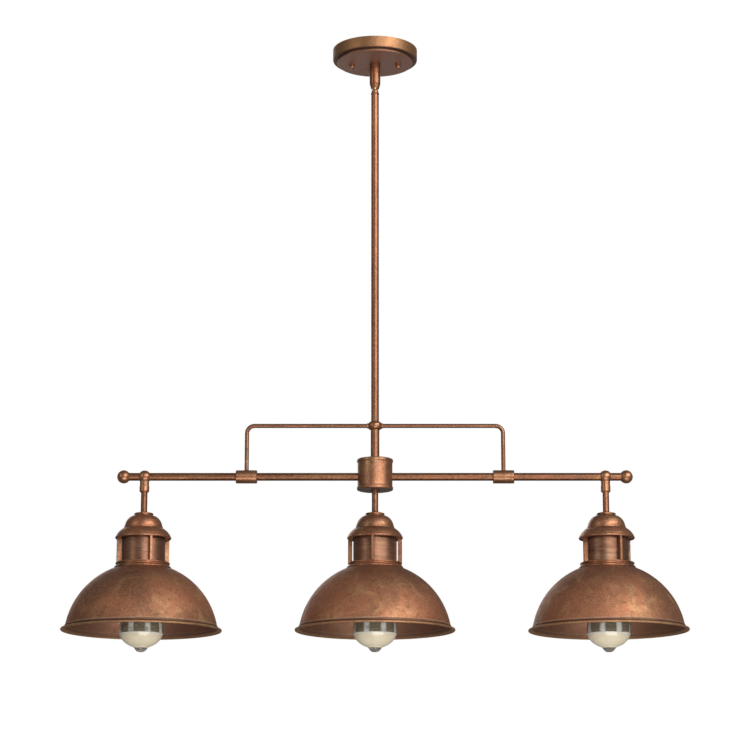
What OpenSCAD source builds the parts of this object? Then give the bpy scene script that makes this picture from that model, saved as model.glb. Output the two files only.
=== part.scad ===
// Three-light linear pendant: a ceiling canopy with a ball swivel, a downrod,
// a hub with two arms, a brace, and three caged lamp heads with screw-in bulbs.
// Origin at the centre of the ceiling plane, +Z up, arms along X, millimetres.

/* [Canopy] */
// Diameter of the canopy
canopy_d = 128; // [100:1:180]
// Height of the canopy's upper band
canopy_band_h = 17; // [12:0.5:30]
// Width of the ledge between the band and the lower tier
canopy_ledge = 6.2; // [3:0.1:12]
// Height of the canopy's lower tier
canopy_tier_h = 4; // [2:0.5:8]
// Thickness of the canopy's sheet
canopy_sheet = 1.2; // [0.8:0.1:2]
// Distance between the two studs that hold the canopy
stud_spacing = 70; // [60:1:80]
// Diameter of the studs
stud_d = 4; // [3:0.1:5]
// Diameter of the ball nuts under the canopy
ball_nut_d = 8; // [7:0.1:10]

/* [Ceiling bracket] */
// Length of the bracket bar
bracket_l = 108; // [100:1:115]
// Width of the bracket bar
bracket_w = 22; // [18:1:30]
// Thickness of the bracket bar
bracket_t = 2; // [1.5:0.1:3]
// Distance between the two slots for the outlet box's screws
slot_spacing = 89; // [86:0.5:92]
// Length of each slot
slot_l = 10; // [8:0.5:10]
// Width of each slot
slot_w = 5; // [4.2:0.1:6]

/* [Swivel] */
// Outer diameter of the swivel's hood
hood_d = 16.4; // [15:0.1:22]
// Diameter of the ball that the fixture hangs from
ball_d = 11.2; // [10.6:0.1:11.4]
// Depth of the ball's centre below the canopy
swivel_drop = 37.2; // [30:0.1:60]
// Radial thickness of the seat ring over the ball
seat_t = 0.6; // [0.4:0.05:0.8]
// How far the hood's mouth stands in under the ball
mouth_lip = 0.8; // [0.5:0.05:0.9]
// Outer diameter of the neck under the ball
neck_d = 6.6; // [6.4:0.1:6.8]
// Bore of the neck, which the lead passes through
neck_bore = 5.2; // [5:0.1:5.4]
// Depth of the neck's collar below the ball's centre
neck_l = 10; // [8:0.1:14]
// Height of the neck's collar
neck_collar_h = 4; // [3:0.5:8]

/* [Tubes] */
// Outer diameter of the downrod and of the arms
tube_d = 11.5; // [11:0.1:16]
// Wall of the downrod, the arms and the hub tube
tube_wall = 1.2; // [1:0.1:1.5]
// Length of the downrod between the swivel and the brace collar
rod_l = 506; // [150:1:900]
// Visible length of the thicker tube between the brace collar and the hub
hub_tube_l = 44; // [30:1:90]
// Outer diameter of the stems that carry the lamp heads
stem_d = 9.4; // [9:0.1:12]
// Wall of the stems
stem_wall = 1.5; // [1:0.1:2]

/* [Hub] */
// Diameter of the hub's shell
hub_d = 51; // [44:1:70]
// Height of the hub
hub_h = 46; // [38:1:70]
// Wall of the hub's shell
hub_wall = 1.5; // [1:0.1:2.5]
// Height of the rolled lips on the hub's two caps
hub_lip_h = 5.5; // [4:0.5:8]
// Depth of the arms' axis below the hub's top
arm_depth = 26; // [20:0.5:28]

/* [Arms and brace] */
// Distance from the hub's axis to an outer lamp's axis
lamp_spacing = 337; // [270:1:460]
// Distance from an outer lamp's axis to the centre of the arm's end ball
arm_overhang = 30.5; // [25:0.5:60]
// Diameter of the balls on the ends of the arms
end_ball_d = 19.4; // [18:0.2:28]
// Wall of the hanger ball around the arm
hanger_wall = 3.7; // [3:0.1:6]
// Depth of the hanger's socket below the arm's axis
hanger_drop = 23; // [20:0.5:40]
// Diameter of the brace rod
brace_d = 6.2; // [5:0.1:8]
// Distance from the hub's axis to a leg of the brace
brace_span = 188; // [120:1:230]
// Radius of the brace's bends, to its centre line
brace_bend_r = 11; // [9:0.5:20]
// Length of the sleeves that hold the brace on the arms
sleeve_l = 31; // [24:1:45]
// Wall of those sleeves
sleeve_wall = 4; // [3.5:0.1:6]
// Height of the collar where the brace meets the rod
brace_collar_h = 12; // [11:0.5:24]
// Wall of that collar around the rod
brace_collar_wall = 4.8; // [4.4:0.1:6]

/* [Lamp heads] */
// Depth of the top of the stem flange below the arms' axis
head_drop = 52; // [46:0.1:90]
// Diameter of the flange on the stem
flange_d = 28; // [26:0.5:40]
// Height of that flange
flange_h = 5.3; // [4:0.1:9]
// Diameter of the crown's dome
dome_d = 55; // [48:0.5:64]
// Height of the dome
dome_h = 17.2; // [14:0.1:24]
// Diameter of the crown's lip
lip_d = 81.2; // [76:0.2:100]
// Height of the skirt between the dome and the bottom of the lip
skirt_h = 17.3; // [14:0.1:26]
// Thickness of the sheet that crown, cup and shade are spun from
sheet = 1; // [0.8:0.1:1.6]
// Outer diameter of the inner cup
cup_d = 63.2; // [54:0.2:64]
// Height of the gap that the cage's posts cross
post_h = 35; // [25:0.5:60]
// Width of a post
post_w = 3.2; // [2:0.1:5]
// Radial depth of a post
post_depth = 6; // [3:0.1:6.2]
// Turn of each head's cage about its stem: left, centre, right
head_turn = [23, -5, 26];

/* [Shades] */
// Outer diameter of the shade's rim
shade_d = 232; // [190:1:290]
// Height of the bowl between its flat seat and the flare of the rim
bowl_h = 84; // [65:1:110]
// Width of the out-turned rim
rim_w = 6.7; // [5:0.1:9]
// Radius of the rolled bead on the rim
bead_r = 1.6; // [1.3:0.1:3]

/* [Bulbs] */
// Largest diameter of the bulb
bulb_d = 64; // [55:0.5:70]
// Length of the bulb from its contact to its tip
bulb_l = 142; // [125:1:150]
// Depth of the bulb's tip below the plane of the shade's rim
bulb_show = 30; // [20:0.5:40]
// Outer diameter of the bulb's screw thread
thread_d = 26.2; // [26:0.1:26.6]
// Pitch of the thread
thread_pitch = 3.629; // [3.5:0.001:3.7]
// Outer diameter of the lampholder
holder_d = 39; // [36:0.5:42]

/* [Wiring] */
// Diameter of the lead in the downrod
lead_d = 4.8; // [4:0.1:5]
// Diameter of each branch lead
branch_d = 4; // [3:0.1:4.6]

/* [Fits] */
// Radial clearance of pieces that are screwed or slid together
fit = 0.1; // [0.05:0.01:0.2]
// Radial clearance of pieces that turn on each other
run = 0.08; // [0.03:0.01:0.1]
// Clearance between pieces that move past each other
gap = 0.3; // [0.2:0.05:0.6]

/* [Hidden] */
SIDES = ["left", "center", "right"];
$fn = 64;

// Colours
copper = [0.55, 0.33, 0.21];
dark_copper = [0.42, 0.26, 0.18];
gold_copper = [0.62, 0.43, 0.24];
zinc = [0.72, 0.73, 0.74];
brass = [0.78, 0.62, 0.32];
porcelain = [0.93, 0.91, 0.86];
nylon = [0.85, 0.84, 0.8];
cable_black = [0.08, 0.08, 0.08];
amber_glass = [0.86, 0.78, 0.58, 0.4];
filament_amber = [0.85, 0.55, 0.2];

// Canopy
canopy_r = canopy_d / 2;
canopy_h = canopy_band_h + canopy_tier_h;
tier_r = canopy_r - canopy_ledge;
stud_x = stud_spacing / 2;
stud_past_nut = 4;
ball_nut_collar_h = 1.5;
nipple_d = 10;
nipple_up = 10;
nut_t = 5;

// Swivel: the ball turns in the hood's mouth, and the seat ring rocks with it
hood_r = hood_d / 2;
ball_r = ball_d / 2;
seat_outer_r = ball_r + run + seat_t;
hood_bore_r = seat_outer_r + run;
mouth_r = ball_r - mouth_lip;
mouth_depth = sqrt(pow(ball_r + run, 2) - pow(mouth_r, 2));
mouth_out_r = mouth_r + 1.2;
pivot_z = -canopy_h - swivel_drop;
hood_bottom_z = pivot_z - mouth_depth;
hood_top_wall = 14;
hood_seam_h = 8.5;
hood_taper_h = 8;
neck_r = neck_d / 2;
head_r = neck_r + 0.6;
head_h = 1;
ball_flat_z = ball_r * 0.5;
head_z = pivot_z + ball_flat_z + gap / 2;
neck_flare_r = neck_r + 1.9;
seat_from = 48;
seat_to = 75;

// Rod and hub levels
neck_collar_z = pivot_z - neck_l;
neck_collar_r = tube_d / 2 + 0.7;
rod_top_z = neck_collar_z - neck_collar_h;
rod_bottom_z = rod_top_z - rod_l;
tube_r = tube_d / 2;
tube_bore_r = tube_r - tube_wall;
spigot_l = 10;
brace_z = rod_bottom_z - brace_collar_h / 2;
hub_tube_bore_r = tube_r + fit;
hub_tube_r = hub_tube_bore_r + 0.5;
brace_collar_bore_r = hub_tube_r + fit;
brace_collar_r = tube_r + brace_collar_wall;
brace_boss_r = brace_d / 2 + 1;
brace_boss_x = brace_collar_r + 0.8;
hub_top_z = rod_bottom_z - brace_collar_h - hub_tube_l;
hub_bottom_z = hub_top_z - hub_h;
arm_z = hub_top_z - arm_depth;
hub_r = hub_d / 2;
hub_lip_r = hub_r + 1;
hub_cap_t = 1.5;

// Arms, hangers and brace
arm_start_x = hub_r - hub_wall - 7;
end_ball_x = lamp_spacing + arm_overhang;
arm_end_x = end_ball_x + 2;
end_ball_r = end_ball_d / 2;
hanger_r = tube_r + hanger_wall;
socket_r = stem_d / 2 + 2;
socket_lip_r = socket_r + 0.4;
sleeve_r = tube_r + sleeve_wall;
grub_d = 4;
grub_l = 3;
grub_sink = 0.4;
wire_hole_r = 4;

// Lamp head levels
stem_r = stem_d / 2;
stem_bore_r = stem_r - stem_wall;
head_bore_r = stem_r + run;
flange_top_z = arm_z - head_drop;
crown_top_z = flange_top_z - flange_h;
dome_r = dome_d / 2;
lip_r = lip_d / 2;
skirt_top_z = crown_top_z - dome_h;
crown_bottom_z = skirt_top_z - skirt_h;
cup_r = cup_d / 2;
plate_z = crown_bottom_z + 1.5;
ring_top_z = crown_bottom_z - post_h;
ring_h = 8;
seat_z = ring_top_z - ring_h;
ring_r = lip_r + 0.4;
ring_in_r = cup_r - 3;
spigot_out_r = cup_r + 2;
post_out_r = lip_r - 1.3;
post_in_r = post_out_r - post_depth;
nut_z = plate_z - sheet - fit;
holder_top_z = nut_z - nut_t - 3;
stem_bottom_z = holder_top_z - 6;

// Shade: an arc about a centre on the axis, from the flat seat to the rim
neck_out_r = ring_r - 0.5;
shade_hole_r = spigot_out_r + fit;
rim_r = shade_d / 2;
bowl_end_r = rim_r - rim_w;
bowl_top_z = seat_z;
bowl_end_z = seat_z - bowl_h;
bowl_c = (pow(bowl_end_r, 2) - pow(neck_out_r, 2) + pow(bowl_h, 2)) / (2 * bowl_h);
bowl_r = sqrt(pow(neck_out_r, 2) + pow(bowl_c, 2));
bowl_z = seat_z - bowl_c;
bowl_from = asin(neck_out_r / bowl_r);
bowl_to = atan2(bowl_end_r, bowl_c - bowl_h);
cove_r = rim_w - bead_r;
rim_z = bowl_end_z - cove_r;
rim_bottom_z = rim_z - sheet / 2 - bead_r;

// Bulb and lampholder
tip_z = rim_bottom_z - bulb_show;
contact_z = tip_z + bulb_l;
bulb_r = bulb_d / 2;
thread_r = thread_d / 2;
thread_root_r = thread_r - 0.9;
thread_turns = 5;
insulator_h = 6;
cap_top_z = contact_z - insulator_h;
cap_h = thread_turns * thread_pitch + 3;
cap_bottom_z = cap_top_z - cap_h;
glass_neck_r = thread_root_r - 0.5;
pip_r = 12;
pip_h = 7.6;
belly_h = 25.2;
belly_z = tip_z + pip_h + belly_h * sqrt(1 - pow(pip_r / bulb_r, 2));
glass_t = 0.8;
holder_r = holder_d / 2;
shell_in_r = thread_r + gap;
shell_t = 0.6;
shell_l = cap_h - 1;
shell_top_z = cap_top_z - 0.5;
shell_bottom_z = shell_top_z - shell_l;
cavity_r = shell_in_r + shell_t + fit;
cavity_top_z = contact_z + 1.4;
holder_bottom_z = shell_bottom_z - 1.6;

// Wiring
bend_r = 8;
lead_r = lead_d / 2;
branch_r = branch_d / 2;

function x_of(side) = side == "left" ? -lamp_spacing : side == "right" ? lamp_spacing : 0;
function turn_of(side) = side == "left" ? head_turn[0] : side == "right" ? head_turn[2] : head_turn[1];
function stem_top_of(side) = side == "center" ? hub_bottom_z + hub_cap_t + nut_t + 2
    : arm_z - tube_r - 1;

// Points of an arc about [0, z] of radius r, from angle a0 to a1 measured from +Z
function arc(z, r, a0, a1, n) = [for (i = [0:n]) let (a = a0 + (a1 - a0) * i / n) [r * sin(a), z + r * cos(a)]];
// Points of an arc about [x, z] of radius r, from angle a0 to a1 measured from +X
function corner(x, z, r, a0, a1, n) = [for (i = [0:n]) let (a = a0 + (a1 - a0) * i / n) [x + r * cos(a), z + r * sin(a)]];

// A cylinder between two heights
module rod(r, z0, z1) {
    translate([0, 0, min(z0, z1)]) cylinder(r = r, h = abs(z1 - z0));
}

// A tube between two heights
module tube(r_out, r_in, z0, z1) {
    difference() {
        rod(r_out, z0, z1);
        rod(r_in, min(z0, z1) - 1, max(z0, z1) + 1);
    }
}

// A cylinder along X between two places, at a height
module cross_rod(r, x0, x1, z) {
    translate([min(x0, x1), 0, z]) rotate([0, 90, 0]) cylinder(r = r, h = abs(x1 - x0));
}

// A grub screw in a wall at the back, seated on a radius
module grub(x, z, r_seat, clearance = 0, length = grub_l) {
    translate([x, r_seat, z]) rotate([-90, 0, 0]) cylinder(d = grub_d + 2 * clearance, h = length);
}

// A hexagon nut with its bore, standing up from a height
module hex_nut(z) {
    difference() {
        translate([0, 0, z - nut_t]) cylinder(r = stem_r + 3.4, h = nut_t, $fn = 6);
        rod(stem_r + fit, z - nut_t - 1, z + 1);
    }
}

module canopy() {
    color(copper) difference() {
        rotate_extrude() polygon(concat(
            [[canopy_r - canopy_sheet, 0], [canopy_r - canopy_sheet, -canopy_band_h + canopy_sheet],
             [tier_r - canopy_sheet, -canopy_band_h + canopy_sheet],
             [tier_r - canopy_sheet, -canopy_h + canopy_sheet], [0, -canopy_h + canopy_sheet], [0, -canopy_h]],
            corner(tier_r - 1.2, -canopy_h + 1.2, 1.2, -90, 0, 3),
            [[tier_r, -canopy_band_h]],
            corner(canopy_r - 1.5, -canopy_band_h + 1.5, 1.5, -90, 0, 3),
            [[canopy_r, 0]]
        ));
        rod(nipple_d / 2 + fit, -canopy_h - 1, 0);
        for (side = [-1, 1]) translate([side * stud_x, 0, 0]) rod(stud_d / 2 + gap, -canopy_h - 1, 0);
    }
}

module ceiling_bracket() {
    color(zinc) difference() {
        translate([-bracket_l / 2, -bracket_w / 2, -bracket_t]) cube([bracket_l, bracket_w, bracket_t]);
        rod(6.5, -bracket_t - 1, 1);
        for (side = [-1, 1]) {
            translate([side * stud_x, 0, 0]) rod(stud_d / 2 + fit, -bracket_t - 1, 1);
            translate([side * slot_spacing / 2, 0, 0]) {
                for (end = [-1, 1])
                    translate([end * (slot_l - slot_w) / 2, 0, 0]) rod(slot_w / 2, -bracket_t - 1, 1);
                translate([-(slot_l - slot_w) / 2, -slot_w / 2, -bracket_t - 1])
                    cube([slot_l - slot_w, slot_w, bracket_t + 2]);
            }
        }
    }
}

module canopy_studs() {
    color(zinc) for (side = [-1, 1]) translate([side * stud_x, 0, 0]) {
        rod(stud_d / 2, -canopy_h - stud_past_nut, 0);
        difference() {
            translate([0, 0, -bracket_t - 3.2]) cylinder(r = 4, h = 3.2, $fn = 6);
            rod(stud_d / 2, -bracket_t - 4, 0);
        }
    }
}

module canopy_ball_nuts() {
    ball_z = -canopy_h - ball_nut_collar_h - ball_nut_d / 2 + 1;
    color(gold_copper) for (side = [-1, 1]) translate([side * stud_x, 0, 0]) difference() {
        union() {
            rod(ball_nut_d / 2 - 0.6, -canopy_h, ball_z);
            rod(ball_nut_d / 2, -canopy_h, -canopy_h - 1.2);
            translate([0, 0, ball_z]) sphere(d = ball_nut_d);
        }
        rod(stud_d / 2 + fit, -canopy_h - stud_past_nut - 0.5, -canopy_h + 1);
    }
}

module swivel_hood() {
    color(copper) difference() {
        union() {
            rod(hood_r, -canopy_h - hood_seam_h, hood_bottom_z + hood_taper_h);
            rod(hood_r - 0.5, -canopy_h - 1, -canopy_h - hood_seam_h - 1);
            rod(hood_r, -canopy_h, -canopy_h - hood_seam_h + 1);
            translate([0, 0, hood_bottom_z]) cylinder(r1 = mouth_out_r, r2 = hood_r, h = hood_taper_h);
            rod(nipple_d / 2, -canopy_h - 1, -canopy_h + canopy_sheet + nipple_up);
        }
        rod(lead_r + 0.8, -canopy_h - hood_top_wall - 1, 0);
        rod(hood_bore_r, -canopy_h - hood_top_wall, pivot_z);
        translate([0, 0, pivot_z]) sphere(r = ball_r + run);
        rod(mouth_r, pivot_z, hood_bottom_z - 1);
    }
}

module swivel_locknut() {
    base_z = -canopy_h + canopy_sheet;
    color(zinc) difference() {
        union() {
            rod(11, base_z, base_z + 1.2);
            translate([0, 0, base_z + 1.2]) cylinder(r = 8.4, h = 4.5, $fn = 6);
        }
        rod(nipple_d / 2, base_z - 1, base_z + 8);
    }
}

// The mains lead and the three cores that join the outlet box's wires
module supply_leads() {
    top_z = -canopy_h + canopy_sheet + nipple_up + 1.5;
    core_r = 1.15;
    connector_from = 15;
    color(cable_black) rod(lead_r, pivot_z + ball_r + 2.6, top_z + 1.8);
    color(filament_amber) for (turn = [60, 120, 270]) rotate([0, 0, turn]) {
        translate([0.6, 0, top_z]) rotate([0, 90, 0]) cylinder(r = core_r, h = connector_from);
        translate([connector_from, 0, top_z])
            rotate([0, 90, 0]) cylinder(r1 = 4.4, r2 = 2.8, h = 16);
    }
}

module swivel_seat() {
    color(nylon) rotate_extrude() polygon(concat(
        arc(pivot_z, ball_r + run, seat_from, seat_to, 10),
        arc(pivot_z, seat_outer_r, seat_to, seat_from, 10)
    ));
}

module swivel_ball() {
    color(brass) difference() {
        translate([0, 0, pivot_z]) sphere(r = ball_r);
        rod(neck_r + run, pivot_z - ball_r - 1, pivot_z + ball_r + 1);
        rod(ball_r, pivot_z + ball_flat_z, pivot_z + ball_r + 1);
    }
}

module swivel_stem() {
    color(copper) difference() {
        rotate_extrude() polygon(concat(
            [[0, head_z + head_h], [head_r, head_z + head_h], [head_r, head_z], [neck_r, head_z],
             [neck_r, pivot_z - 5], [neck_flare_r, pivot_z - 6.4], [neck_flare_r, neck_collar_z]],
            corner(neck_collar_r - 1.4, neck_collar_z - 1.4, 1.4, 90, -90, 8),
            [[tube_r - 0.2, neck_collar_z - 2.8], [tube_r - 0.2, rod_top_z],
             [tube_bore_r, rod_top_z], [tube_bore_r, rod_top_z - spigot_l], [0, rod_top_z - spigot_l]]
        ));
        rod(neck_bore / 2, rod_top_z - spigot_l - 1, pivot_z + ball_r + 1);
    }
}

// The downrod's lower end stands inside the brace collar and the hub tube
module downrod() {
    color(copper) tube(tube_r, tube_bore_r, rod_top_z, brace_z - 3);
}

module brace_collar() {
    color(gold_copper) difference() {
        union() {
            rotate_extrude() polygon(concat(
                [[0, rod_bottom_z], [brace_collar_r - 3.2, rod_bottom_z]],
                corner(brace_collar_r - 5, brace_z + brace_collar_h / 2 - 5, 5, 62, 0, 6),
                corner(brace_collar_r - 5, brace_z - brace_collar_h / 2 + 5, 5, 0, -62, 6),
                [[brace_collar_r - 3.2, rod_bottom_z - brace_collar_h], [0, rod_bottom_z - brace_collar_h]]
            ));
            cross_rod(brace_boss_r, -brace_boss_x, brace_boss_x, brace_z);
        }
        rod(tube_r, brace_z + 2, rod_bottom_z + 1);
        rod(hub_tube_r, brace_z + 2, rod_bottom_z - brace_collar_h - 1);
        for (side = [-1, 1])
            cross_rod(brace_d / 2, side * (hub_tube_r + 0.8), side * (brace_boss_x + 1), brace_z);
        grub(0, brace_z - 2, hub_tube_r - 1, fit, brace_collar_r);
    }
}

module hub_tube() {
    color(copper) difference() {
        tube(hub_tube_r, tube_bore_r, brace_z + 2, hub_top_z - hub_cap_t - nut_t - 2);
        rod(tube_r, brace_z + 3, brace_z - 3);
    }
}

module brace() {
    color(copper) {
        cross_rod(brace_d / 2, hub_tube_r + 0.8, brace_span - brace_bend_r, brace_z);
        translate([brace_span - brace_bend_r, 0, brace_z - brace_bend_r]) rotate([90, 0, 0])
            rotate_extrude(angle = 90) translate([brace_bend_r, 0]) circle(r = brace_d / 2);
        translate([brace_span, 0, 0]) rod(brace_d / 2, arm_z + tube_r + 0.6, brace_z - brace_bend_r);
    }
}

module brace_left() { mirror([1, 0, 0]) brace(); }
module brace_right() { brace(); }

module brace_sleeve() {
    color(gold_copper) difference() {
        translate([brace_span, 0, arm_z]) rotate([0, 90, 0]) rotate_extrude() polygon([
            [0, -sleeve_l / 2], [sleeve_r - 0.8, -sleeve_l / 2], [sleeve_r, -sleeve_l / 2 + 0.8],
            [sleeve_r, sleeve_l / 2 - 0.8], [sleeve_r - 0.8, sleeve_l / 2], [0, sleeve_l / 2]
        ]);
        cross_rod(tube_r, brace_span - sleeve_l, brace_span + sleeve_l, arm_z);
        translate([brace_span, 0, 0]) rod(brace_d / 2, arm_z + tube_r + 0.6, arm_z + sleeve_r + 1);
        grub(brace_span, arm_z, tube_r - 1, fit, sleeve_r);
    }
}

module brace_sleeve_left() { mirror([1, 0, 0]) brace_sleeve(); }
module brace_sleeve_right() { brace_sleeve(); }

module hub_shell() {
    color(copper) difference() {
        tube(hub_r, hub_r - hub_wall, hub_top_z - hub_lip_h + 1, hub_bottom_z + hub_lip_h - 1);
        cross_rod(tube_r, -hub_r - 2, hub_r + 2, arm_z);
    }
}

// A lipped cap that stands over one end of the hub's shell; dir is the way it faces
module hub_cap(end_z, dir, hole_r, boss_r, boss_h) {
    z = function(d) end_z - dir * d;
    pts = [[0, z(-boss_h)], [boss_r - 0.6, z(-boss_h)], [boss_r, z(0.6 - boss_h)], [boss_r, z(0)],
        [hub_lip_r - 1.8, z(0)], [hub_lip_r - 0.5, z(0.5)], [hub_lip_r, z(1.6)],
        [hub_lip_r, z(hub_lip_h - 1.4)], [hub_lip_r - 0.5, z(hub_lip_h - 0.5)], [hub_r, z(hub_lip_h)],
        [hub_r, z(hub_lip_h - 1)], [hub_r - hub_wall - 0.6, z(hub_lip_h - 1)],
        [hub_r - hub_wall - 0.6, z(hub_cap_t)], [0, z(hub_cap_t)]];
    difference() {
        rotate_extrude() polygon(pts);
        rod(hole_r, end_z - boss_h - 3 * hub_cap_t, end_z + boss_h + 3 * hub_cap_t);
    }
}

module hub_top_cap() { color(copper) hub_cap(hub_top_z, 1, hub_tube_r, hub_tube_r + 1.8, 1.2); }
module hub_bottom_cap() { color(dark_copper) hub_cap(hub_bottom_z, -1, stem_r, stem_r + 1.8, 2.6); }

module arm() {
    color(copper) difference() {
        cross_rod(tube_r, arm_start_x, arm_end_x, arm_z);
        cross_rod(tube_bore_r, arm_start_x - 1, arm_end_x + 1, arm_z);
        translate([lamp_spacing, 0, 0]) rod(wire_hole_r, arm_z, arm_z - tube_r - 1);
    }
}

module arm_left() { mirror([1, 0, 0]) arm(); }
module arm_right() { arm(); }

module arm_end_balls() {
    color(gold_copper) for (side = [0, 1]) mirror([side, 0, 0]) difference() {
        translate([end_ball_x, 0, arm_z]) sphere(r = end_ball_r);
        cross_rod(tube_r, end_ball_x - end_ball_r - 2, arm_end_x, arm_z);
    }
}

module hanger() {
    mouth_z = arm_z - hanger_drop;
    color(gold_copper) difference() {
        union() {
            translate([lamp_spacing, 0, arm_z]) sphere(r = hanger_r);
            translate([lamp_spacing, 0, 0]) {
                rod(socket_r, arm_z, mouth_z + 1.6);
                rod(socket_lip_r, mouth_z + 1.6, mouth_z + 9);
                translate([0, 0, mouth_z]) cylinder(r1 = socket_r - 0.8, r2 = socket_lip_r, h = 1.6);
            }
        }
        cross_rod(tube_r, lamp_spacing - 2 * hanger_r, lamp_spacing + 2 * hanger_r, arm_z);
        translate([lamp_spacing, 0, 0]) rod(stem_r, arm_z, mouth_z - 1);
        grub(lamp_spacing, mouth_z + 5, stem_r - 1, fit, socket_lip_r);
    }
}

module hanger_left() { mirror([1, 0, 0]) hanger(); }
module hanger_right() { hanger(); }

module set_screws() {
    color(zinc) {
        grub(0, brace_z - 2, hub_tube_r, 0, brace_collar_r - hub_tube_r - grub_sink);
        for (side = [-1, 1]) {
            grub(side * brace_span, arm_z, tube_r, 0, sleeve_wall - grub_sink);
            grub(side * lamp_spacing, arm_z - hanger_drop + 5, stem_r, 0, socket_lip_r - stem_r - grub_sink);
        }
    }
}

// The lead from the swivel, the splice in the hub and a branch to each lampholder
module wiring_loom() {
    splice_h = 13;
    color(cable_black) {
        rod(lead_r, head_z + head_h, arm_z + splice_h / 2);
        rod(7, arm_z + splice_h / 2, arm_z - splice_h / 2);
        rod(branch_r, arm_z - splice_h / 2, stem_bottom_z);
        for (side = [0, 1]) mirror([side, 0, 0]) {
            cross_rod(branch_r, 6, lamp_spacing - bend_r, arm_z);
            translate([lamp_spacing - bend_r, 0, arm_z - bend_r]) rotate([90, 0, 0])
                rotate_extrude(angle = 90) translate([bend_r, 0]) circle(r = branch_r);
            translate([lamp_spacing, 0, 0]) rod(branch_r, arm_z - bend_r, stem_bottom_z);
        }
    }
}

module stem(side) {
    color(copper) translate([x_of(side), 0, 0]) tube(stem_r, stem_bore_r, stem_top_of(side), stem_bottom_z);
}

module stem_left() { stem("left"); }
module stem_center() { stem("center"); }
module stem_right() { stem("right"); }

module stem_flanges() {
    color(copper) for (side = SIDES) translate([x_of(side), 0, 0]) difference() {
        rotate_extrude() polygon([
            [0, flange_top_z], [stem_r + 1.2, flange_top_z], [stem_r + 2.6, flange_top_z - 0.5],
            [flange_d / 2 - 0.6, flange_top_z - 2.2], [flange_d / 2, flange_top_z - 2.8],
            [flange_d / 2, flange_top_z - 3.7], [flange_d / 2 - 1.4, flange_top_z - 4.3],
            [flange_d / 2 - 1.4, crown_top_z + fit], [0, crown_top_z + fit]
        ]);
        rod(stem_r, crown_top_z - 1, flange_top_z + 3);
    }
}

module lock_nuts() {
    color(brass) {
        difference() {
            translate([0, 0, hub_top_z - hub_cap_t - nut_t]) cylinder(r = hub_tube_r + 3.6, h = nut_t, $fn = 6);
            rod(hub_tube_r, hub_top_z - nut_t - 4, hub_top_z);
        }
        hex_nut(hub_bottom_z + hub_cap_t + nut_t);
        for (side = SIDES) translate([x_of(side), 0, 0]) hex_nut(nut_z);
    }
}

module lampholder(side) {
    color(porcelain) translate([x_of(side), 0, 0]) difference() {
        rotate_extrude() polygon([
            [0, holder_top_z], [10, holder_top_z], [11, holder_top_z - 1], [11, holder_top_z - 7],
            [holder_r - 2, holder_top_z - 8], [holder_r, holder_top_z - 10],
            [holder_r, holder_bottom_z + 8], [holder_r - 1, holder_bottom_z + 7],
            [holder_r - 1, holder_bottom_z + 1.5], [holder_r - 2.2, holder_bottom_z],
            [0, holder_bottom_z]
        ]);
        rod(stem_r, stem_bottom_z, holder_top_z + 1);
        rod(cavity_r, holder_bottom_z - 1, cavity_top_z);
    }
}

module lampholder_left() { lampholder("left"); }
module lampholder_center() { lampholder("center"); }
module lampholder_right() { lampholder("right"); }

// The threaded shell of each lampholder, with the contact strip above it
module screw_shells() {
    color(brass) for (side = SIDES) translate([x_of(side), 0, 0]) {
        tube(cavity_r, shell_in_r, shell_top_z, shell_bottom_z);
        rod(4.5, cavity_top_z, cavity_top_z - 0.8);
    }
}

module crown(side) {
    z = crown_top_z;
    top_r = flange_d / 2 - 0.5;
    // Shares of the width and height, down the dome and down the skirt
    dome_at = [[0.03, 0.01], [0.21, 0.06], [0.44, 0.15], [0.63, 0.285], [0.81, 0.48], [0.92, 0.675],
        [0.98, 0.85]];
    skirt_at = [[0.24, 0.175], [0.46, 0.31], [0.6, 0.405], [0.82, 0.625], [0.94, 0.8]];
    dome = [for (p = dome_at) [top_r + (dome_r - top_r) * p[0], z - dome_h * p[1]]];
    skirt = [for (p = skirt_at) [dome_r + (lip_r - dome_r) * p[0], skirt_top_z - skirt_h * p[1]]];
    outer = concat(
        [[head_bore_r, z], [top_r, z]], dome,
        [[dome_r, skirt_top_z + 0.5], [dome_r + 0.8, skirt_top_z], [dome_r + 0.8, skirt_top_z - 2]], skirt,
        [[lip_r - 0.3, crown_bottom_z + 2.6], [lip_r, crown_bottom_z + 2.2],
         [lip_r, crown_bottom_z + 0.8], [lip_r - 0.6, crown_bottom_z]]
    );
    inner = concat(
        [[lip_r - 1.3, crown_bottom_z], [lip_r - 1.3, plate_z], [head_bore_r, plate_z],
         [head_bore_r, plate_z + sheet], [lip_r - 2, plate_z + sheet]],
        [for (i = [3:-1:0]) skirt[i] - [0.8, 0.8] * sheet],
        [[dome_r - sheet, skirt_top_z - 2]],
        [for (i = [6:-1:1]) dome[i] - [0.85, 0.85] * sheet],
        [[top_r, z - sheet - 0.4], [head_bore_r, z - sheet - 0.4]]
    );
    color(copper) translate([x_of(side), 0, 0]) rotate_extrude() polygon(concat(outer, inner));
}

module crown_left() { crown("left"); }
module crown_center() { crown("center"); }
module crown_right() { crown("right"); }

module cup(side) {
    color(dark_copper) translate([x_of(side), 0, 0]) difference() {
        rod(cup_r, plate_z, ring_top_z);
        rod(cup_r - sheet, plate_z - sheet, ring_top_z - 1);
        rod(head_bore_r, plate_z - 3, plate_z + 1);
    }
}

module cup_left() { cup("left"); }
module cup_center() { cup("center"); }
module cup_right() { cup("right"); }

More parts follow.
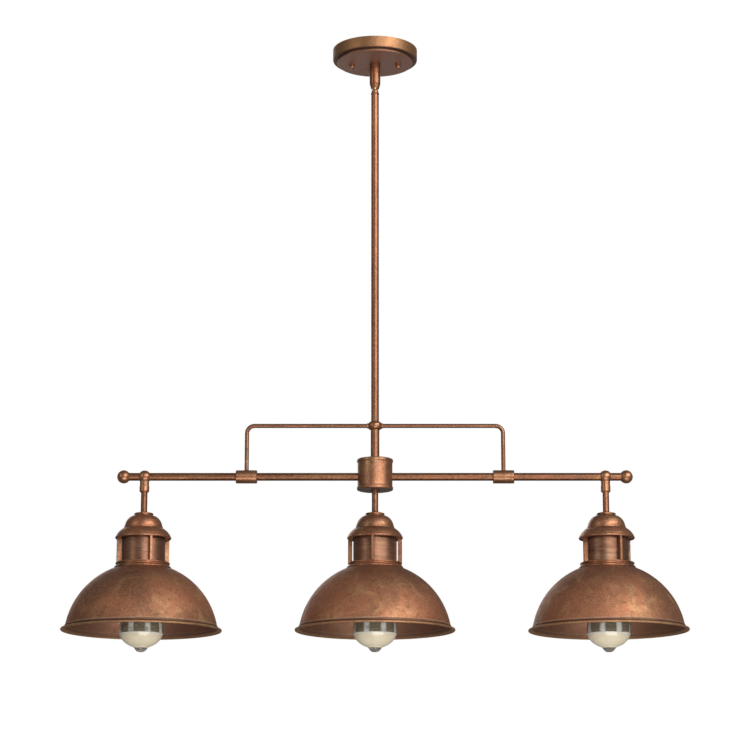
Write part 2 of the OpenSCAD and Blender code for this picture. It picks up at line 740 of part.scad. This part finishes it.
// Four posts and the ring that the shade hangs on
module cage(side) {
    color(copper) translate([x_of(side), 0, 0]) rotate([0, 0, turn_of(side)]) {
        rotate_extrude() polygon([
            [ring_in_r, ring_top_z], [ring_r - 2.4, ring_top_z], [ring_r - 1.6, ring_top_z - 0.6],
            [ring_r - 1.6, ring_top_z - 1.8], [ring_r - 2.8, ring_top_z - 3],
            [ring_r - 2.8, ring_top_z - 4], [ring_r - 1.2, ring_top_z - 5.2],
            [ring_r, seat_z + 1.6], [ring_r, seat_z + 0.4], [ring_r - 0.4, seat_z],
            [spigot_out_r, seat_z], [spigot_out_r, seat_z - sheet - 0.6],
            [ring_in_r, seat_z - sheet - 0.6]
        ]);
        for (turn = [0:90:270]) rotate([0, 0, turn])
            translate([-post_w / 2, -post_out_r, ring_top_z]) cube([post_w, post_depth, plate_z - ring_top_z]);
    }
}

module cage_left() { cage("left"); }
module cage_center() { cage("center"); }
module cage_right() { cage("right"); }

module shade(side) {
    color(copper) translate([x_of(side), 0, 0]) {
        rotate_extrude() polygon(concat(
            [[spigot_out_r, seat_z]],
            arc(bowl_z, bowl_r, bowl_from, bowl_to, 24),
            corner(bowl_end_r + cove_r, bowl_end_z, cove_r, 200, 270, 6),
            corner(bowl_end_r + cove_r, bowl_end_z, cove_r + sheet, 270, 200, 6),
            arc(bowl_z, bowl_r - sheet, bowl_to, bowl_from, 24),
            [[spigot_out_r, seat_z - sheet]]
        ));
        rotate_extrude() translate([rim_r - bead_r, rim_z - sheet / 2]) circle(r = bead_r, $fn = 24);
        rotate_extrude() translate([bowl_end_r - 0.2, bowl_end_z]) circle(r = 0.9, $fn = 24);
    }
}

module shade_left() { shade("left"); }
module shade_center() { shade("center"); }
module shade_right() { shade("right"); }

// The bulb's centre contact in its glass insulator; it slides with the bulb and is round
module bulb_contact(side) {
    color(zinc) translate([x_of(side), 0, 0]) {
        rod(4.6, contact_z, contact_z - 1.5);
        translate([0, 0, cap_top_z]) cylinder(r1 = 9, r2 = 5, h = insulator_h - 1.5);
    }
}

module bulb_contact_left() { bulb_contact("left"); }
module bulb_contact_center() { bulb_contact("center"); }
module bulb_contact_right() { bulb_contact("right"); }

// The screw cap, with a ridge for each turn of its thread
module bulb_cap(side) {
    color(zinc) translate([x_of(side), 0, 0]) difference() {
        rotate_extrude() polygon(concat(
            [[0, cap_top_z], [10.6, cap_top_z], [thread_root_r, cap_top_z - 1.2]],
            [for (i = [0:thread_turns - 1], k = [0:3]) [
                k == 1 || k == 2 ? thread_r : thread_root_r,
                cap_top_z - 1.4 - (i + [0, 0.34, 0.6, 0.94][k]) * thread_pitch]],
            [[thread_root_r, cap_bottom_z], [0, cap_bottom_z]]
        ));
        rod(thread_root_r - 0.5, cap_top_z - 1, cap_bottom_z - 1);
    }
}

module bulb_cap_left() { bulb_cap("left"); }
module bulb_cap_center() { bulb_cap("center"); }
module bulb_cap_right() { bulb_cap("right"); }

module bulb_glass(side) {
    shoulder_r = 45;
    shoulder_to = 24;
    cone_r = bulb_r - shoulder_r * (1 - cos(shoulder_to));
    cone_z = belly_z + shoulder_r * sin(shoulder_to);
    neck_z = cone_z + (cone_r - glass_neck_r - 2.2) / tan(shoulder_to);
    belly_to = acos(pip_r / bulb_r);
    outer = concat(
        [[0, tip_z], [3.5, tip_z + 0.3], [5.8, tip_z + 1.3], [7.4, tip_z + 2.8], [8.6, tip_z + 4.6], [9.6, tip_z + 5.8]],
        [for (i = [0:12]) let (a = -belly_to + belly_to * i / 12) [bulb_r * cos(a), belly_z + belly_h * sin(a)]],
        [for (i = [1:6]) let (a = shoulder_to * i / 6) [bulb_r - shoulder_r * (1 - cos(a)), belly_z + shoulder_r * sin(a)]],
        [[glass_neck_r + 2.2, neck_z], [glass_neck_r + 0.8, neck_z + 5], [glass_neck_r, neck_z + 12],
         [glass_neck_r, cap_bottom_z + 8]]
    );
    color(amber_glass) translate([x_of(side), 0, 0]) difference() {
        rotate_extrude() polygon(concat(outer, [[0, cap_bottom_z + 8]]));
        rotate_extrude() polygon(concat(
            [[0, tip_z + 4]],
            [for (p = outer) if (p[1] > tip_z + 5 && p[1] < cap_bottom_z + 7) [p[0] - glass_t, p[1] + (p[1] < belly_z ? glass_t : 0)]],
            [[glass_neck_r - glass_t, cap_bottom_z + 4], [0, cap_bottom_z + 4]]
        ));
    }
}

module bulb_glass_left() { bulb_glass("left"); }
module bulb_glass_center() { bulb_glass("center"); }
module bulb_glass_right() { bulb_glass("right"); }

// The stem press, four upright filaments and the rings that carry them
module bulb_filament(side) {
    top_z = cap_bottom_z + 4;
    press_z = belly_z + 62;
    low_z = belly_z + 6;
    color(filament_amber) translate([x_of(side), 0, 0]) {
        rod(3, top_z, press_z);
        rod(0.9, press_z, low_z - 2);
        for (z = [press_z, low_z]) translate([0, 0, z - 1]) cylinder(r = 3, h = 2);
        for (turn = [0:90:270]) rotate([0, 0, turn + 45]) {
            translate([3.6, 0, 0]) rod(0.8, low_z, press_z);
            for (z = [low_z, press_z]) translate([0, 0, z]) rotate([0, 90, 0]) cylinder(r = 0.8, h = 4.4);
        }
    }
}

module bulb_filament_left() { bulb_filament("left"); }
module bulb_filament_center() { bulb_filament("center"); }
module bulb_filament_right() { bulb_filament("right"); }

canopy();
ceiling_bracket();
canopy_studs();
canopy_ball_nuts();
swivel_hood();
swivel_locknut();
supply_leads();
swivel_seat();
swivel_ball();
swivel_stem();
downrod();
brace_collar();
hub_tube();
brace_left();
brace_right();
brace_sleeve_left();
brace_sleeve_right();
hub_shell();
hub_top_cap();
hub_bottom_cap();
arm_left();
arm_right();
arm_end_balls();
hanger_left();
hanger_right();
set_screws();
wiring_loom();
stem_left();
stem_center();
stem_right();
stem_flanges();
lock_nuts();
lampholder_left();
lampholder_center();
lampholder_right();
screw_shells();
crown_left();
crown_center();
crown_right();
cup_left();
cup_center();
cup_right();
cage_left();
cage_center();
cage_right();
shade_left();
shade_center();
shade_right();
bulb_contact_left();
bulb_contact_center();
bulb_contact_right();
bulb_cap_left();
bulb_cap_center();
bulb_cap_right();
bulb_glass_left();
bulb_glass_center();
bulb_glass_right();
bulb_filament_left();
bulb_filament_center();
bulb_filament_right();
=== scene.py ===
"""Three-light linear pendant in aged copper: looks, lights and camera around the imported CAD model."""
import math

import bpy
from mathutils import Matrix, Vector


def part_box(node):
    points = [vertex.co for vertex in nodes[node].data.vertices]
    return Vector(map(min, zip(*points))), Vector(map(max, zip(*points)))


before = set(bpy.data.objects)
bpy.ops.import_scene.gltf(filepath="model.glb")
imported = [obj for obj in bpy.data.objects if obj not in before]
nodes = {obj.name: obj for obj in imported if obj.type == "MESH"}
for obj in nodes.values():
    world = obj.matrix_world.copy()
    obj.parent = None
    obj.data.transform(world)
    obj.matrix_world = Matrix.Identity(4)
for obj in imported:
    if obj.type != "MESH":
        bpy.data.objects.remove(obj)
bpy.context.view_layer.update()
scene = bpy.context.scene
SIDES = ("left", "center", "right")
MM = 0.001
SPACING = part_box("shade_right")[0].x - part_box("shade_center")[0].x
LEVELS = {n: tuple(v.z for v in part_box(n)) for n in ("shade_center", "canopy")}


# ---------------------------------------------------------------- node helpers
class Tree:
    """Short calls for building one material's nodes. A value may be a number, a colour or a socket."""

    def __init__(self, name):
        self.mat = bpy.data.materials.new(name)
        self.mat.use_nodes = True
        self.t = self.mat.node_tree
        self.t.nodes.clear()
        self.bsdf = self.node("BsdfPrincipled")
        self.link(self.bsdf.outputs["BSDF"], self.node("OutputMaterial").inputs["Surface"])
        place = self.node("TexCoord").outputs
        self.coord = place["Object"]
        self.x, self.y, self.z = self.split(self.coord)
        self.nx, self.ny, self.nz = self.split(place["Normal"])

    def node(self, kind):
        return self.t.nodes.new("ShaderNode" + kind)

    def link(self, a, b):
        self.t.links.new(a, b)

    def split(self, vector):
        n = self.node("SeparateXYZ")
        self.link(vector, n.inputs[0])
        return n.outputs

    def put(self, socket, value):
        if isinstance(value, bpy.types.NodeSocket):
            self.link(value, socket)
        else:
            socket.default_value = value

    def set(self, **values):
        for key, value in values.items():
            self.put(self.bsdf.inputs[key.replace("_", " ")], value)

    def math(self, op, a, b=0.0):
        n = self.node("Math")
        n.operation = op
        self.put(n.inputs[0], a)
        self.put(n.inputs[1], b)
        return n.outputs[0]

    def add(self, a, b):
        return self.math("ADD", a, b)

    def less(self, a, b):
        return self.math("SUBTRACT", a, b)

    def times(self, a, b):
        return self.math("MULTIPLY", a, b)

    def stretch(self, scale, offset=(0, 0, 0)):
        """The object's own coordinates, scaled on each axis."""
        n = self.node("Mapping")
        self.link(self.coord, n.inputs["Vector"])
        n.inputs["Scale"].default_value = scale
        n.inputs["Location"].default_value = offset
        return n.outputs[0]

    def noise(self, scale, detail=4.0, rough=0.55, vector=None, distortion=0.0):
        n = self.node("TexNoise")
        self.link(vector or self.coord, n.inputs["Vector"])
        n.inputs["Scale"].default_value = scale
        n.inputs["Detail"].default_value = detail
        n.inputs["Roughness"].default_value = rough
        n.inputs["Distortion"].default_value = distortion
        return n.outputs["Fac"]

    def ramp(self, value, low, high, to_low=0.0, to_high=1.0):
        """A smooth step from to_low at low to to_high at high."""
        n = self.node("MapRange")
        n.clamp = True
        n.interpolation_type = "SMOOTHSTEP"
        for i, v in enumerate((value, low, high, to_low, to_high)):
            self.put(n.inputs[i], v)
        return n.outputs[0]

    def between(self, value, start, full, fade, end):
        """1 from full to fade, falling to 0 at start and at end."""
        return self.times(self.ramp(value, start, full), self.ramp(value, end, fade))

    def mix(self, fac, a, b):
        n = self.node("Mix")
        n.data_type = "RGBA"
        self.put(n.inputs[0], fac)
        for i, v in ((6, a), (7, b)):
            self.put(n.inputs[i], v if isinstance(v, bpy.types.NodeSocket) else (*v, 1.0))
        return n.outputs[2]

    def own_x(self):
        """x counted from the axis of the nearest lamp head."""
        turns = self.math("ROUND", self.math("DIVIDE", self.x, SPACING))
        return self.less(self.x, self.times(turns, SPACING))

    def bump(self, height, strength, distance=MM, under=None):
        n = self.node("Bump")
        n.inputs["Strength"].default_value = strength
        n.inputs["Distance"].default_value = distance
        self.link(height, n.inputs["Height"])
        if under is not None:
            self.link(under, n.inputs["Normal"])
        return n.outputs[0]


# ---------------------------------------------------------------- metals, porcelain and sheath
# Each palette is the brown ground, the warmer clouds, the worn brassy patches and the dark specks.
DARK = (0.07, 0.038, 0.028)
GOLD = (0.5, 0.305, 0.145)
SHEET = ((0.24, 0.103, 0.057), (0.36, 0.142, 0.075), GOLD, DARK)
TUBE = ((0.165, 0.065, 0.034), (0.235, 0.088, 0.045), (0.36, 0.19, 0.085), DARK)
FITTING = ((0.26, 0.11, 0.058), (0.35, 0.155, 0.082), (0.5, 0.29, 0.14), DARK)
CUP = ((0.17, 0.08, 0.05), (0.24, 0.112, 0.068), (0.36, 0.22, 0.125), DARK)
CANOPY = ((0.23, 0.1, 0.05), (0.29, 0.125, 0.065), (0.4, 0.22, 0.1), (0.08, 0.042, 0.034))
# Colours that a finish lays on by place. The lighter canopy underside is painted light, the neck colour and the top
# of the inside are painted shade, and the line colour is a painted highlight.
CANOPY_BAND, CANOPY_UNDER_PAINTED_LIGHT = (0.33, 0.175, 0.075), (0.52, 0.29, 0.22)
HUB_UNDER = (0.16, 0.125, 0.108)
NECK_PAINTED_SHADE, RIDGE_PAINTED_HIGHLIGHT = (0.12, 0.056, 0.038), (0.62, 0.46, 0.32)
INSIDE_LOW, INSIDE_TOP_PAINTED_SHADE = (0.27, 0.14, 0.09), (0.09, 0.052, 0.038)


def aged_copper(name, palette, patch=0.5, grain=1.0, metallic=0.85, rough=(0.4, 0.56), streak=(1, 1, 1), finish=None):
    """Antique copper: clouds, brassy patches, dark and light specks and a fine tooth.
    finish(t, colour) may tint the colour by place before it goes on."""
    t = Tree(name)
    brown, warm, gold, dark = palette
    at = t.stretch(streak)
    clouds = t.noise(10.0, 5.0, 0.6, at, 0.6)
    patches = t.noise(26.0, 6.0, 0.68, at, 0.9)
    blotch = t.noise(80.0, 5.0, 0.72, at)
    tooth = t.noise(520.0 * grain, 3.0, 0.75, at)
    specks = t.noise(400.0 * grain, 3.0, 0.8, t.stretch(streak, (3.1, 1.7, 0.4)))
    light_specks = t.times(t.ramp(tooth, 0.48, 0.66, 0.0, 0.6), t.ramp(patches, 0.3, 0.6, 0.5, 1.0))
    colour = t.mix(t.ramp(clouds, 0.4, 0.6), brown, warm)
    colour = t.mix(t.ramp(patches, 0.5, 0.7, 0.0, patch), colour, gold)
    colour = t.mix(t.ramp(blotch, 0.5, 0.7, 0.0, 0.42), colour, dark)
    colour = t.mix(t.ramp(specks, 0.52, 0.66, 0.0, 0.6), colour, dark)
    colour = t.mix(light_specks, colour, gold)
    if finish:
        colour = finish(t, colour)
    uneven = t.add(t.times(blotch, 0.6), t.times(tooth, 0.4))
    tooth_bump = t.bump(tooth, 0.16, 0.4 * MM)
    t.set(Base_Color=colour, Metallic=metallic, Roughness=t.ramp(uneven, 0.36, 0.64, *rough),
          Normal=t.bump(blotch, 0.14, 1.2 * MM, tooth_bump))
    return t.mat


def plain_metal(name, colour, rough, streak=(1, 1, 1)):
    """Turned or plated metal with a faint directional grain and handling marks."""
    t = Tree(name)
    fine = t.noise(600.0, 3.0, 0.6, t.stretch(streak))
    marks = t.noise(45.0, 4.0, 0.6)
    worn = tuple(c * 0.8 for c in colour)
    t.set(Base_Color=t.mix(t.ramp(marks, 0.4, 0.7), colour, worn), Metallic=1.0,
          Roughness=t.ramp(fine, 0.3, 0.7, rough * 0.8, rough * 1.3), Normal=t.bump(fine, 0.08, 0.4 * MM))
    return t.mat


def smooth_surface(name, colour, rough, marks=(0.94, 0.93, 0.9), bump=0.03, coat=0.0):
    """Porcelain, nylon or cable sheath: an even colour with slight clouding."""
    t = Tree(name)
    cloud = t.noise(60.0, 4.0, 0.6)
    other = tuple(c * k for c, k in zip(colour, marks))
    t.set(Base_Color=t.mix(t.ramp(cloud, 0.4, 0.65), colour, other),
          Roughness=t.ramp(cloud, 0.3, 0.7, rough, rough * 1.4),
          Coat_Weight=coat, Normal=t.bump(t.noise(300.0, 2.0, 0.5), bump, 0.5 * MM))
    return t.mat


def canopy_tint(t, colour):
    """Golden on the canopy's side, a lighter purplish brown on the underside as painted light from below, and painted
    shade in the groove between them.
    """
    low = LEVELS["canopy"][0]
    colour = t.mix(t.ramp(t.z, low + 4 * MM, low + 7.5 * MM, 0.0, 0.5), colour, CANOPY_BAND)
    # Painted light: faces turned downwards are lightened as if lit from below.
    colour = t.mix(t.ramp(t.nz, -0.6, -0.95, 0.0, 0.85), colour, CANOPY_UNDER_PAINTED_LIGHT)
    # Painted shade: a dark line in the groove between the canopy's side and its underside.
    painted_step_shade = t.between(t.z, low + MM, low + 2.6 * MM, low + 3.6 * MM, low + 5.2 * MM)
    return t.mix(t.times(painted_step_shade, 0.8), colour, DARK)


def hub_tint(t, colour):
    """The face under the hub is greyer than its rolled lip."""
    return t.mix(t.ramp(t.nz, -0.8, -0.97, 0.0, 0.85), colour, HUB_UNDER)


def shade_tint(t, colour):
    """A dark matt brown inside that painted shade darkens further towards the neck; on the outside painted shade
    towards the neck and in the hollow of the rim's flare, a pale painted highlight line just above that hollow, and a
    lighter rolled rim edge, partly rubbed wear and partly painted highlight.
    """
    low, high = LEVELS["shade_center"]
    ridge_z = low + 7.4 * MM
    bowl_center_z = high - 104 * MM
    ridge_painted_highlight = t.between(t.z, ridge_z - 1.6 * MM, ridge_z - 0.4 * MM, ridge_z + 0.6 * MM, ridge_z + 1.8 * MM)
    cove_painted_shade = t.between(t.z, low + 3 * MM, low + 4 * MM, ridge_z - 1.8 * MM, ridge_z - 0.8 * MM)
    bead_wear_and_painted_highlight = t.ramp(t.z, low + 3.4 * MM, low + 2.2 * MM)
    # Painted shade: the outside darkens towards the neck.
    colour = t.mix(t.ramp(t.z, high - 35 * MM, high, 0.0, 0.5), colour, NECK_PAINTED_SHADE)
    # Painted shade in the hollow of the rim's flare.
    colour = t.mix(t.times(cove_painted_shade, 0.75), colour, DARK)
    # Painted highlight: a pale line just above the hollow of the flare.
    colour = t.mix(t.times(ridge_painted_highlight, 0.35), colour, RIDGE_PAINTED_HIGHLIGHT)
    # The rolled rim edge is lighter, partly rubbed wear and partly painted highlight.
    colour = t.mix(t.times(bead_wear_and_painted_highlight, 0.35), colour, GOLD)
    # A face whose normal points away from the bowl's centre is on the outside.
    out = t.add(t.times(t.own_x(), t.nx), t.times(t.y, t.ny))
    out = t.add(out, t.times(t.less(t.z, bowl_center_z), t.nz))
    inside = t.times(t.ramp(out, 0.0, -20 * MM), t.ramp(t.z, low + 2.2 * MM, low + 4 * MM))
    # Inside, painted shade darkens the brown from the rim up towards the neck.
    inner_with_painted_shade = t.mix(t.ramp(t.z, low + 20 * MM, low + 75 * MM), INSIDE_LOW, INSIDE_TOP_PAINTED_SHADE)
    return t.mix(t.times(inside, 0.72), colour, inner_with_painted_shade)


# ---------------------------------------------------------------- bulb
def bulb_glass():
    """Clear glass with painted reflections above the cream coat: a pale tint, eight light and dark upright stripes
    and less see-through glass. A cream coat below the widest part, paler at its top edge as a painted reflection, and
    a clear tip.
    """
    t = Tree("bulb_glass")
    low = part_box("bulb_glass_center")[0].z
    coat_edge = low + 26.5 * MM
    tip_edge = low + 6.2 * MM
    coated = t.between(t.z, tip_edge - 0.6 * MM, tip_edge + 0.6 * MM, coat_edge - 0.4 * MM, coat_edge + 0.4 * MM)
    # Painted reflection: above the coat the glass is paler and less see-through.
    painted_reflection_zone = t.between(t.z, coat_edge - 0.2 * MM, coat_edge + 0.6 * MM, low + 45 * MM, low + 75 * MM)
    cloud = t.noise(90.0, 4.0, 0.6)
    cream = t.mix(t.ramp(cloud, 0.35, 0.65), (0.93, 0.79, 0.55), (0.96, 0.84, 0.62))
    # Painted reflection: a paler line along the top edge of the cream coat.
    cream = t.mix(t.ramp(t.z, coat_edge - 4 * MM, coat_edge - 0.5 * MM, 0.0, 0.6), cream, (0.9, 0.9, 0.86))
    # Painted reflections: eight upright bands around the glass, dark and light, broken up by noise
    painted_band_wave = t.math("COSINE", t.times(t.math("ARCTAN2", t.own_x(), t.y), 8.0))
    painted_reflection_bands = t.times(t.ramp(painted_band_wave, -0.1, -0.9), t.ramp(t.noise(40.0, 3.0, 0.6), 0.35, 0.55, 0.4, 1.0))
    # The upper glass colour: its tint, and on the upper part the painted reflections.
    clear = t.mix(painted_reflection_zone, (0.96, 0.92, 0.8), t.mix(painted_reflection_bands, (0.52, 0.45, 0.32), (0.95, 0.92, 0.84)))
    painted_reflection_hides = t.times(painted_reflection_zone, t.ramp(painted_reflection_bands, 0.0, 1.0, 0.35, 0.85))
    t.set(Base_Color=t.mix(coated, clear, cream), Roughness=t.ramp(coated, 0.0, 1.0, 0.04, 0.28), IOR=1.45,
          Transmission_Weight=t.less(t.less(1.0, coated), painted_reflection_hides), Coat_Weight=0.6, Coat_Roughness=0.04)
    return t.mat


def glow_wire():
    t = Tree("filament")
    coil = t.noise(900.0, 2.0, 0.5, t.stretch((1, 1, 8)))
    t.set(Base_Color=t.mix(coil, (0.35, 0.18, 0.07), (0.6, 0.36, 0.15)), Metallic=0.6, Roughness=0.45)
    return t.mat


# ---------------------------------------------------------------- which finish each node has
bright = (0.34, 0.5)
brighter = (0.3, 0.44)
turned = (1, 1, 6)
FINISHES = (
    (aged_copper("aged_copper", SHEET, rough=bright), "hub_shell hub_top_cap stem_flanges crown cage"),
    (aged_copper("aged_copper_tube", TUBE, 0.45, 1.4, rough=brighter, streak=(1, 1, 0.3)),
     "swivel_hood swivel_stem downrod hub_tube stem"),
    (aged_copper("aged_copper_bar", TUBE, 0.45, 1.4, rough=brighter, streak=(0.3, 1, 1)), "arm brace"),
    (aged_copper("aged_fitting", FITTING, 0.6, 1.4, rough=brighter),
     "canopy_ball_nuts brace_collar brace_sleeve hanger arm_end_balls"),
    (aged_copper("aged_copper_cup", CUP, metallic=0.9, rough=(0.34, 0.46), streak=(0.1, 0.1, 1)), "cup"),
    (aged_copper("aged_copper_canopy", CANOPY, 0.35, finish=canopy_tint), "canopy"),
    (aged_copper("aged_hub_plate", SHEET, finish=hub_tint), "hub_bottom_cap"),
    (aged_copper("shade_copper", SHEET, 0.6, rough=(0.52, 0.68), finish=shade_tint), "shade"),
    (plain_metal("zinc_plate", (0.42, 0.42, 0.41), 0.42), "ceiling_bracket canopy_studs swivel_locknut set_screws"),
    (plain_metal("turned_brass", (0.72, 0.52, 0.24), 0.25, turned), "swivel_ball lock_nuts screw_shells"),
    (plain_metal("rolled_cap", (0.78, 0.76, 0.72), 0.25, turned), "bulb_contact bulb_cap"),
    (smooth_surface("nylon", (0.8, 0.79, 0.74), 0.45), "swivel_seat"),
    (smooth_surface("lead_sheath", (0.02, 0.02, 0.02), 0.5, (1.6, 1.6, 1.6), 0.1), "supply_leads wiring_loom"),
    (smooth_surface("porcelain", (0.84, 0.81, 0.74), 0.12, coat=0.3), "lampholder"),
    (bulb_glass(), "bulb_glass"),
    (glow_wire(), "bulb_filament"),
)
FINISH_OF = {name: material for material, names in FINISHES for name in names.split()}

for name, obj in nodes.items():
    base = name.rsplit("_", 1)[0] if name.endswith(SIDES) else name
    obj.data.materials.clear()
    obj.data.materials.append(FINISH_OF[base])


# ---------------------------------------------------------------- studio
def add(name, data):
    obj = bpy.data.objects.new(name, data)
    scene.collection.objects.link(obj)
    return obj


LAMPS = (0, 0, -0.78)
# Each softbox: its place, what it faces, its width and height in metres, and its power in watts
SOFTBOXES = {
    "key": ((1.8, -1.9, 0.6), LAMPS, (2.2, 1.9), 70),
    "front": ((0.6, -3.0, 0.1), LAMPS, (1.4, 1.8), 32),
    "fill_left": ((-2.3, -1.7, 0.3), LAMPS, (0.8, 1.8), 12),
    "low": ((0.5, -1.9, -2.3), (0, 0, -0.6), (2.6, 0.9), 42),
    "back": ((-0.9, 2.8, 0.3), LAMPS, (2.0, 1.5), 16),
}
for name, (place, target, size, power) in SOFTBOXES.items():
    light = bpy.data.lights.new(name, "AREA")
    light.shape = "RECTANGLE"
    light.size, light.size_y = size
    light.energy = power
    box = add(name, light)
    box.location = place
    box.rotation_euler = (Vector(target) - Vector(place)).to_track_quat("-Z", "Y").to_euler()

# A white backdrop, and a weaker even light from all around
AROUND, BACKDROP = 0.185, 1.0
world = bpy.data.worlds.new("studio")
scene.world = world
world.use_nodes = True
wt = world.node_tree
wt.nodes.clear()
mixer = wt.nodes.new("ShaderNodeMixShader")
wt.links.new(wt.nodes.new("ShaderNodeLightPath").outputs["Is Camera Ray"], mixer.inputs[0])
for socket, strength in ((1, AROUND), (2, BACKDROP)):
    shine = wt.nodes.new("ShaderNodeBackground")
    shine.inputs["Color"].default_value = (1, 1, 1, 1)
    shine.inputs["Strength"].default_value = strength
    wt.links.new(shine.outputs[0], mixer.inputs[socket])
wt.links.new(mixer.outputs[0], wt.nodes.new("ShaderNodeOutputWorld").inputs["Surface"])
scene.view_settings.view_transform = "Standard"

# The object hangs, so the floor lies well below it, under every camera that looks up at it.
# It is as white as the backdrop, so its edges don't show.
FLOOR_DROP, FLOOR_HALF = 4.3, 6.0
corners = [(x * FLOOR_HALF, y * FLOOR_HALF, -FLOOR_DROP) for x, y in ((-1, -1), (1, -1), (1, 1), (-1, 1))]
floor_mesh = bpy.data.meshes.new("floor")
floor_mesh.from_pydata(corners, [], [(0, 1, 2, 3)])
pale = Tree("pale_floor")
pale.set(Base_Color=(0.9, 0.9, 0.89, 1.0), Roughness=0.9, Emission_Color=(1.0, 1.0, 1.0, 1.0), Emission_Strength=1.0)
floor_mesh.materials.append(pale.mat)
floor = add("floor", floor_mesh)
floor.visible_diffuse = floor.visible_glossy = floor.visible_transmission = floor.visible_shadow = False

# ---------------------------------------------------------------- camera
LOOK_UP = 12.77  # degrees above level
cam = bpy.data.cameras.new("camera")
cam.sensor_width = 36.0
cam.lens = 110.0
cam.clip_end = 60.0
eye = add("camera", cam)
eye.location = (0.0, -3.303, -1.256)
eye.rotation_euler = (math.radians(90 + LOOK_UP), 0, 0)
scene.camera = eye
